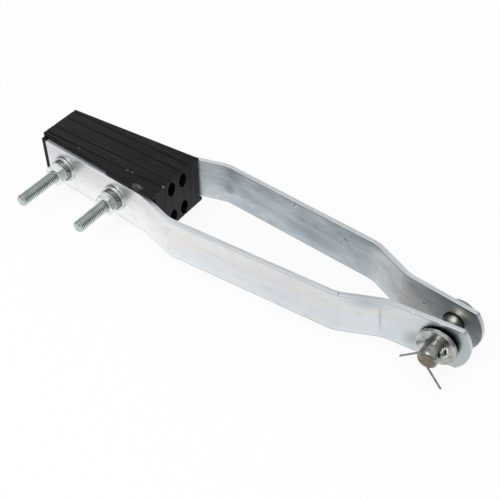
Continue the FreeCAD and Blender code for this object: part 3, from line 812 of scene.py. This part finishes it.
# Marks on the bars, in millimetres and degrees: centre, half sizes, turn, the share of
# its radius that is full, and its colour
MARKS = {
    "near_strap": [
        # painted shade and reflection in the gap under the loose washer, and a softer painted
        # reflection of washer and pin beside it
        ((0.0, -10.4, 0.3), (12.3, 2.5, 12.3), (0, 0, 5.2), 0.86, "#28313A"),
        ((-15.0, -11.8, -6.0), (7.0, 2.5, 9.0), (0, 0, 5.2), 0.2, "#B6BDC0"),
        # nicks on the upper edge
        ((-17.4, -11.7, 14.8), (0.5, 0.8, 0.6), (0, 0, 0), 0.5, "#FFFFFF"),
        ((-10.3, -10.6, 15.0), (0.5, 1.4, 0.4), (0, 0, 0), 0.5, "#E6E2F0"),
        ((-57.2, -23.6, 15.0), (0.6, 1.2, 0.4), (0, 0, 0), 0.3, "#6E7579"),
        # darker along the upper edge beside the ear
        ((-42.0, -18.0, 12.0), (26.0, 9.0, 7.5), (0, 0, 0), 0.1, "#B9C1C6"),
        # dull line where the press bent the bar
        ((-34.7, -14.5, 1.5), (1.3, 3.0, 15.0), (0, -5, 0), 0.2, "#BFC1D0"),
    ],
    "far_strap": [
        # a nick, dots and clouds on the face turned inwards
        ((-118.4, 25.7, 12.4), (0.4, 2.0, 2.6), (0, 30, 0), 0.4, "#62706B"),
        ((-117.5, 25.7, 11.8), (0.35, 2.0, 1.8), (0, 30, 0), 0.4, "#E4ECEE"),
        ((-106.0, 24.9, -4.0), (36.0, 3.0, 5.0), (0, 2.4, 0), 0.1, "#A2ABB1"),
        ((-19.8, 9.2, 1.7), (0.8, 2.0, 0.8), (0, 0, 0), 0.5, "#27323B"),
        ((-80.0, 23.4, 6.1), (2.6, 2.0, 0.7), (0, 12, 0), 0.3, "#6A7378"),
        ((-83.3, 23.6, 1.6), (0.7, 2.0, 0.7), (0, 0, 0), 0.5, "#687176"),
        ((-106.8, 25.0, 9.0), (4.5, 3.0, 9.0), (0, 0, 0), 0.1, "#B3BFBC"),
        # dark smudge at the bend, and a painted highlight on the ear beside the pin
        ((-170.5, 28.5, -2.5), (5.0, 4.0, 6.0), (0, 0, 0), 0.1, "#A0A8AF"),
        ((3.2, 7.0, 10.2), (7.5, 2.0, 4.2), (0, 0, 0), 0.1, "#F1EBE1"),
    ],
}


class CLAMP_OT_straps(Operator):
    """Bend the two straps and plate them with zinc"""

    bl_idname = "clamp.straps"
    bl_label = "Straps"

    def execute(self, context):
        looks = context.scene.clamp_looks.strap
        for start, (node, body) in enumerate(STRAPS.items()):
            zinc = zinc_on_flat_bar(f"{node}_zinc", looks, 7.3 * start, MARKS[node])
            mesh = bent_strap(looks, 1 if node == "far_strap" else -1)
            new_piece(f"{node}_bar", body, mesh, zinc, node)
        return {"FINISHED"}


# Plastic block

# Where the plastic is rubbed chalky: centre and half sizes of each patch, in millimetres
RUBBED_PLACES = [
    ((-190.2, -12.4, 18.0), (1.6, 1.4, 1.6)), ((-203.0, -21.0, 17.0), (6.5, 2.4, 2.2)),
    ((-195.0, -22.0, 15.5), (4.5, 1.8, 2.0)), ((-258.5, -14.0, 18.0), (1.1, 0.8, 0.6)),
    ((-216.0, -12.8, 18.0), (5.0, 0.6, 0.6)),
]


class CLAMP_OT_jaws(Operator):
    """Give the moulded wedges and jaws their rounded edges and black plastic"""

    bl_idname = "clamp.jaws"
    bl_label = "Wedges and jaws"

    def execute(self, context):
        looks = context.scene.clamp_looks.jaw
        plastic = black_polyamide(looks)
        for name in PLASTICS:
            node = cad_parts[name]
            node.data.materials.clear()
            node.data.materials.append(plastic)
            weld = node.modifiers.new("joined_facets", "WELD")
            weld.merge_threshold = 0.002 * MM
            rounding = node.modifiers.new("moulded_edges", "BEVEL")
            rounding.width = looks.edge_round * MM
            rounding.segments = 2
            rounding.limit_method = "ANGLE"
            rounding.angle_limit = math.radians(40)
            rounding.harden_normals = False
            shade_evenly(node)
        return {"FINISHED"}


# Bolts, nuts and washers, in millimetres and degrees

HEAD_HEIGHT = 5.3
ROD_RADIUS = 3.98
NECK = 2.0
POINT = 1.0
NUT = {"height": 6.5, "bore": 4.03, "countersink": 0.5}
TAIL_NUT_TURN = -8
FLAT_WASHER = {"inner": 4.4, "outer": 9.0, "thickness": 1.6}
SPRING_WASHER = {"inner": 4.4, "outer": 7.4, "thickness": 2.0, "gap": 0.6, "tilt": 20.0}


def hexagon_radius(angle, flats):
    """Distance from the axis to the hexagon's side in a direction."""
    sector = math.radians(60)
    return flats / 2 / math.cos((angle % sector) - sector / 2)


def hexagonal(flats, height, bore=0.0, countersink=0.0):
    """A nut, or with no bore a head, with its corners turned off by a cone."""
    face = flats / 2 * 0.95
    slope = math.tan(math.radians(30))
    dish = 0.15
    rings = []
    mesh = bmesh.new()
    for step in range(ROUND):
        angle = math.tau * step / ROUND
        side = hexagon_radius(angle, flats)
        drop = max(0.0, (side - face) * slope)
        if bore:
            mouth = bore + countersink
            profile = [
                (bore, countersink), (mouth, 0.0), (face, 0.0), (side, drop),
                (side, height - drop), (face, height), (mouth, height),
                (bore, height - countersink),
            ]
        else:
            profile = [
                (0.01, 0.0), (face, 0.0), (side, 0.0), (side, height - drop), (face, height),
                (face * 0.86, height), (face * 0.8, height - dish), (0.01, height - dish),
            ]
        rings.append(ring_of(mesh, profile, angle))
    closed(mesh, rings, merge=0.02)
    round_sharp_edges(mesh, width=0.14, least=22.0)
    return mesh


def threaded_rod(length, looks, steps=40):
    """A rod with a right-hand thread cut into it, from its neck to its pointed end."""
    radius = ROD_RADIUS
    pitch = looks.pitch
    root = radius - looks.thread_depth
    flank = looks.thread_depth * math.tan(math.radians(30))
    crest = pitch / 8
    section = [(0.0, root), (flank, radius), (flank + crest, radius), (2 * flank + crest, root)]
    turns = int((length - NECK) / pitch) + 1
    mesh = bmesh.new()
    depth = mesh.verts.layers.float.new("thread_root")
    columns = []
    for step in range(turns * steps + 1):
        angle = math.tau * step / steps
        # the thread stays behind the neck and inside the point's cone
        places = [
            min(max(NECK + pitch * (step / steps) + along - pitch, NECK), length)
            for along, _ in section
        ]
        profile = [
            (min(r, radius - POINT + (length - z)), z) for (_, r), z in zip(section, places)
        ]
        column = ring_of(mesh, profile, angle)
        for point, (r, _) in zip(column, profile):
            point[depth] = (radius - r) / looks.thread_depth
        columns.append(column)
    for step, (column, following) in enumerate(zip(columns, columns[1:])):
        for index in range(3):
            mesh.faces.new((
                column[index], following[index], following[index + 1], column[index + 1],
            ))
        if step + steps + 1 < len(columns):
            above, above_next = columns[step + steps], columns[step + steps + 1]
            mesh.faces.new((column[3], following[3], above_next[0], above[0]))
    bmesh.ops.dissolve_degenerate(mesh, dist=1e-4, edges=mesh.edges)
    end = radius - POINT
    shoulder = length - 0.45
    tip = turned([
        (0.0, length), (end - 0.12, length), (end + 0.02, length - 0.06),
        (end + 0.44, shoulder), (0.0, shoulder),
    ])
    neck = cylinder(root + 0.3, 0.0, NECK + 0.4)
    for extra in (neck, tip):
        data = bpy.data.meshes.new("work")
        extra.to_mesh(data)
        extra.free()
        mesh.from_mesh(data)
        bpy.data.meshes.remove(data)
    # the sheared end took less zinc
    sheared_from, dullness = length - 0.3, 0.45
    depth = mesh.verts.layers.float["thread_root"]
    for vertex in mesh.verts:
        if vertex.co.z > sheared_from:
            vertex[depth] = dullness
    return facing_out(mesh)


def washer(inner, outer, thickness, roll=0.3):
    """A stamped washer: rolled over on one side, with a small burr on the other."""
    slight = roll * 0.3
    return turned([
        (inner, 0.1), (inner + 0.1, 0.0), (outer - 0.08, 0.0), (outer, 0.08),
        (outer, thickness - roll), (outer - slight, thickness - slight),
        (outer - roll, thickness), (inner + roll, thickness),
        (inner + slight, thickness - slight), (inner, thickness - roll),
    ])


def spring_washer(inner, outer, thickness, gap, tilt):
    """A square-section coil, split on the slant and squeezed almost flat."""
    corner = 0.25
    section = [
        (inner, corner), (inner + corner, 0.0), (outer - corner, 0.0), (outer, corner),
        (outer, thickness - corner), (outer - corner, thickness),
        (inner + corner, thickness), (inner, thickness - corner),
    ]
    mesh = bmesh.new()
    rings = []
    open_angle = gap / outer
    slant = thickness / outer
    start = math.radians(tilt) + open_angle / 2
    for step in range(ROUND + 1):
        turn = (math.tau - open_angle) * (step / ROUND)
        ring = []
        for r, z in section:
            lean = slant * (z / thickness - 0.5)
            ring += ring_of(mesh, [(r, z)], start + lean + turn)
        rings.append(ring)
    return capped(mesh, rings)


def seat_of(node):
    """X of a fastener's axis and Y of the face that it sits on, in millimetres."""
    low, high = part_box(node)
    return (low[0] + high[0]) / 2 / MM, high[1] / MM


class CLAMP_OT_fasteners(Operator):
    """Thread the bolts and set nuts, spring washers and flat washers on them"""

    bl_idname = "clamp.fasteners"
    bl_label = "Bolts, nuts and washers"

    def execute(self, context):
        looks = context.scene.clamp_looks.fastener
        shades = ("#CFD8D3", looks.zinc, "#F4F7F5")
        zinc = plated_steel("zinc_plated_hexagons", shades, 0.16)
        stamped = plated_steel("zinc_plated_stampings", ("#C0C5C5", "#D8DBDB", "#EFF0F0"), 0.20)
        # the spring washers are darker steel, darkened further as painted shade between nut and
        # washer
        spring = plated_steel("spring_steel_with_painted_shade", ("#6B6E6F", "#8C9091", "#A9ADAD"), 0.30)
        # painted shade with oil darkens the thread roots
        root = ("thread_root", looks.thread_shade)
        threads = plated_steel("zinc_plated_thread", shades, 0.20, root)
        for place in BOLTS:
            low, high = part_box(f"{place}_bolt")
            rod = threaded_rod((high[1] - low[1]) / MM - HEAD_HEIGHT, looks)
            head = rotated(hexagonal(looks.flats, HEAD_HEIGHT), 180, "X")
            nut = hexagonal(looks.flats, **NUT)
            if place == "tail":
                rotated(nut, TAIL_NUT_TURN, "Z")
            washers = f"{place}_washers"
            for kind, part, body, mesh, finish in (
                ("bolt", "thread", "far_side", rod, threads),
                ("bolt", "head", "far_side", head, zinc),
                ("nut", "hexagon", f"{place}_nut", nut, zinc),
                ("flat_washer", "ring", washers, washer(**FLAT_WASHER), stamped),
                ("spring_washer", "coil", washers, spring_washer(**SPRING_WASHER), spring),
            ):
                node = f"{place}_{kind}"
                x, y = seat_of(node)
                if kind == "bolt":
                    y -= HEAD_HEIGHT
                mesh = into_place(mesh, x, y)
                new_piece(f"{node}_{part}", body, mesh, finish, node)
        return {"FINISHED"}


# Clevis, in millimetres and degrees

PIN_HEAD_RADIUS = 10.0
PIN_HEAD_HEIGHT = 5.0
CROSS_HOLE_RADIUS = 1.8
CLEVIS_WASHER = {"inner": 6.5, "outer": 12.0, "thickness": 2.5, "roll": 0.4}
SPLIT_PIN_TILT = 33.0
SPLIT_PIN_ROLL = 34.0
SPLIT_PIN_HEIGHT = 5.5


def rounded_path(points, radius, steps=6):
    """Points along straight runs joined by arcs."""
    path = [points[0]]
    for before, corner, after in zip(points, points[1:], points[2:]):
        arriving = (corner - before).normalized()
        leaving = (after - corner).normalized()
        turn = arriving.angle(leaving)
        reach = radius * math.tan(turn / 2)
        towards = (leaving - arriving).normalized()
        centre = corner + towards * (radius / math.cos(turn / 2))
        first = corner - arriving * reach - centre
        axis = arriving.cross(leaving).normalized()
        for step in range(steps + 1):
            path.append(centre + Matrix.Rotation(turn * step / steps, 3, axis) @ first)
    path.append(points[-1])
    return path


def swept(path, section, flat_side):
    """Sweep a section along a path; flat_side gives the section's first axis."""
    mesh = bmesh.new()
    rings = []
    for index, place in enumerate(path):
        before = path[max(index - 1, 0)]
        after = path[min(index + 1, len(path) - 1)]
        along = (after - before).normalized()
        side = flat_side.cross(along).normalized()
        up = along.cross(side).normalized()
        rings.append([mesh.verts.new(place + side * a + up * b) for a, b in section])
    return capped(mesh, rings)


def split_pin(looks):
    """One wire folded to an eye, both legs through the pin and bent apart."""
    tilt = math.radians(SPLIT_PIN_TILT)
    roll = math.radians(SPLIT_PIN_ROLL)
    along = Vector((math.cos(tilt), 0, math.sin(tilt)))
    across = Vector((-math.sin(tilt), 0, math.cos(tilt)))
    outward = Vector((0, -1, 0))
    side = across * math.cos(roll) - outward * math.sin(roll)
    wire = looks.wire_radius
    pin = looks.pin_radius
    leg_offset, stub, bend_radius = 0.78, 1.0, 1.1
    eye_half_width, eye_length, eye_lift = 2.05, 5.7, 1.9

    def spot(u, v):
        return along * u + side * v

    def leg_end(start, length, degrees, lean=0.0):
        angle = math.radians(degrees)
        run = along * math.cos(angle) + across * math.sin(angle)
        return start - run * length + outward * lean

    eye_start = pin + eye_half_width
    eye_end = pin + eye_length - wire
    straight = spot(-pin - stub, leg_offset)
    curled = spot(-pin - stub, -leg_offset)
    points = [
        leg_end(straight, length=15.2, degrees=11.6), straight, spot(pin + wire, leg_offset),
        spot(eye_start, eye_half_width + eye_lift / 2),
        spot(eye_end, eye_half_width + eye_lift), spot(eye_end, eye_lift - eye_half_width),
        spot(eye_start, eye_lift / 2 - eye_half_width),
        spot(pin + wire, -leg_offset), curled,
        leg_end(curled, length=21.0, degrees=110.0, lean=4.4),
    ]
    sides = 12
    section = [
        (wire * math.cos(math.tau * step / sides), wire * math.sin(math.tau * step / sides))
        for step in range(sides)
    ]
    mesh = swept(rounded_path(points, bend_radius), section, outward)
    # painted highlight: the eye is lighter, fully from this far above the pin
    full = 1.5
    eye = mesh.verts.layers.float.new("eye")
    for vertex in mesh.verts:
        vertex[eye] = min(max((vertex.co.dot(along) - pin) / full, 0.0), 1.0)
    return mesh


class CLAMP_OT_clevis(Operator):
    """Turn the clevis pin, hang its washer and fold its split pin"""

    bl_idname = "clamp.clevis"
    bl_label = "Clevis pin"

    def execute(self, context):
        looks = context.scene.clamp_looks.clevis
        steel = oiled_turned_steel(looks)
        dark = ("#7E7C77", looks.wire, "#AFADA8")
        # the split pin's eye gets a painted highlight
        wire = plated_steel("drawn_steel_wire", dark, 0.36, ("eye", "#D6D7D3"))
        zinc = plated_steel("worn_zinc_on_washer", ("#8E918D", "#B2B5B1", "#D3D6D3"), 0.22)
        low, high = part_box("clevis_pin")
        radius = looks.pin_radius
        head, height = PIN_HEAD_RADIUS, PIN_HEAD_HEIGHT
        length = (high[1] - low[1]) / MM - height
        cross_hole = length - SPLIT_PIN_HEIGHT
        # its head, its shank and its bevelled end
        pin = turned([
            (0.0, -height), (head - 0.8, -height), (head - 0.2, -height + 0.25),
            (head, -height + 0.8), (head, -0.3), (head - 0.3, 0.0), (radius + 0.3, 0.0),
            (radius, 0.3), (radius, length - 1.3), (radius - 0.2, length - 0.9),
            (radius - 1.1, length - 0.1), (radius - 1.35, length), (0.0, length),
        ], 128)
        hole = cylinder(CROSS_HOLE_RADIUS, -2 * radius, 2 * radius, 40)
        rotated(rotated(hole, 90, "Y"), SPLIT_PIN_TILT, "Z")
        hole.transform(Matrix.Translation((0, 0, cross_hole)))
        pin = cut_holes(pin, [hole])
        seat = high[1] / MM - height
        new_piece(
            "clevis_pin_turned", "clevis_pin", into_place(pin, 0.0, seat), steel,
            "clevis_pin",
        )
        low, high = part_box("clevis_washer")
        ring = into_place(
            washer(**CLEVIS_WASHER), 0.0, high[1] / MM, (low[2] + high[2]) / 2 / MM,
        )
        new_piece(
            "clevis_washer_ring", "clevis_washer", ring, zinc, "clevis_washer",
        )
        folded = split_pin(looks)
        folded.transform(Matrix.Translation((0, seat - cross_hole, 0)))
        new_piece("split_pin_wire", "clevis_pin", folded, wire, "split_pin", 50.0)
        return {"FINISHED"}


# Floor, light and camera, in metres

FLOOR_RADIUS = 6.0
FLOOR_GAP = 0.0001


def area_light(name, place, aim, size, energy):
    data = bpy.data.lights.new(name, "AREA")
    data.shape = "SQUARE"
    data.size = size
    data.energy = energy
    lamp = in_scene(name, data)
    lamp.location = place
    lamp.rotation_euler = (Vector(aim) - Vector(place)).to_track_quat("-Z", "Y").to_euler()


def studio_world(looks):
    """A light tent, dim at the walls and white overhead. The camera sees it as white."""
    world = bpy.data.worlds.new("light_tent")
    bpy.context.scene.world = world
    world.use_nodes = True
    tree = world.node_tree
    tree.nodes.clear()
    cloth = add(tree, "ShaderNodeValToRGB", {
        "stops": [(0.0, looks.walls), (0.35, "#B0B3B5"), (0.60, "#DFE0E2"), (0.85, looks.ceiling)],
        "Fac": split_axes(tree, "Generated")["Z"],
    })
    tent, plain = [
        add(tree, "ShaderNodeBackground", {"Color": colour, "Strength": 1.0})
        for colour in (cloth, shade(1.0))
    ]
    camera = add(tree, "ShaderNodeLightPath").outputs["Is Camera Ray"]
    backdrop = add(tree, "ShaderNodeMixShader", {0: camera, 1: tent, 2: plain})
    add(tree, "ShaderNodeOutputWorld", {"Surface": backdrop})


def floor_material(looks):
    """Matt white paper. Most of what the camera and the metal see of it is plain white,
    so that the ground is nearly white and keeps the soft shadow."""
    material, tree = new_material("matt_white_paper")
    bump = add(tree, "ShaderNodeBump", {
        "Strength": 0.05, "Distance": 0.05 * MM,
        "Height": mottled(tree, "Object", (2, 2, 2), FULL_RANGE),
    })
    paper = add(tree, "ShaderNodeBsdfPrincipled", {
        "Base Color": looks.floor, "Roughness": 0.9, "Specular IOR Level": 0.1, "Normal": bump,
    })
    white = add(tree, "ShaderNodeEmission", {"Color": shade(1.0), "Strength": 1.0})
    ray = add(tree, "ShaderNodeLightPath").outputs
    seen = add(tree, "ShaderNodeMath", {
        "operation": "MAXIMUM", 0: ray["Is Camera Ray"], 1: ray["Is Glossy Ray"],
    })
    share = add(tree, "ShaderNodeMath", {
        "operation": "MULTIPLY", 0: seen, 1: looks.floor_lift,
    })
    floor = add(tree, "ShaderNodeMixShader", {0: share, 1: paper, 2: white})
    add(tree, "ShaderNodeOutputMaterial", {"Surface": floor})
    return material


class CLAMP_OT_stage(Operator):
    """Lay the floor, hang the lamps and set the camera"""

    bl_idname = "clamp.stage"
    bl_label = "Stage"

    def execute(self, context):
        looks = context.scene.clamp_looks.stage
        mesh = bmesh.new()
        bmesh.ops.create_circle(mesh, cap_ends=True, segments=64, radius=FLOOR_RADIUS)
        floor = as_object("floor", mesh)
        floor.location = (0, 0, CAD_BOX[0][2] - FLOOR_GAP)
        floor.data.materials.append(floor_material(looks))
        aim = tuple(looks.target)
        area_light("front_softbox", (-0.45, -1.35, 1.25), aim, 0.6, looks.front_power)
        area_light("back_softbox", (-1.33, 0.91, 0.51), aim, 0.35, looks.back_power)
        studio_world(looks)
        self.set_camera(context, looks)
        context.scene.view_settings.view_transform = "Standard"
        return {"FINISHED"}

    def set_camera(self, context, looks):
        data = bpy.data.cameras.new("camera")
        data.lens = looks.lens
        data.sensor_width = 36.0
        data.clip_start = 0.01
        camera = in_scene("camera", data)
        turn = Matrix.Rotation(looks.azimuth, 4, "Z")
        turn @= Matrix.Rotation(math.radians(90) - looks.elevation, 4, "X")
        back = turn @ Vector((0, 0, looks.distance))
        turn @= Matrix.Rotation(looks.roll, 4, "Z")
        camera.matrix_world = Matrix.Translation(Vector(looks.target) + back) @ turn
        context.scene.camera = camera


class CLAMP_PT_sidebar(Panel):
    """Lists the steps that dress the clamp"""

    bl_idname = "CLAMP_PT_sidebar"
    bl_label = "Anchor clamp"
    bl_space_type = "VIEW_3D"
    bl_region_type = "UI"
    bl_category = "Clamp"

    def draw(self, context):
        looks = context.scene.clamp_looks
        for name in ("strap", "jaw", "fastener", "clevis", "stage"):
            group = getattr(looks, name)
            box = self.layout.box()
            box.label(text=name.capitalize())
            for key in group.bl_rna.properties.keys():
                if key not in ("rna_type", "name"):
                    box.prop(group, key)
        for step in STEPS:
            self.layout.operator(step.bl_idname)


GROUPS = (StrapLooks, JawLooks, FastenerLooks, ClevisLooks, StageLooks, ClampLooks)
STEPS = (CLAMP_OT_straps, CLAMP_OT_jaws, CLAMP_OT_fasteners, CLAMP_OT_clevis, CLAMP_OT_stage)


def register():
    for item in GROUPS + STEPS + (CLAMP_PT_sidebar,):
        bpy.utils.register_class(item)
    bpy.types.Scene.clamp_looks = PointerProperty(type=ClampLooks)


def unregister():
    del bpy.types.Scene.clamp_looks
    for item in reversed(GROUPS + STEPS + (CLAMP_PT_sidebar,)):
        bpy.utils.unregister_class(item)


def main():
    register()
    bpy.ops.clamp.straps()
    bpy.ops.clamp.jaws()
    bpy.ops.clamp.fasteners()
    bpy.ops.clamp.clevis()
    bpy.ops.clamp.stage()


if __name__ == "__main__":
    main()
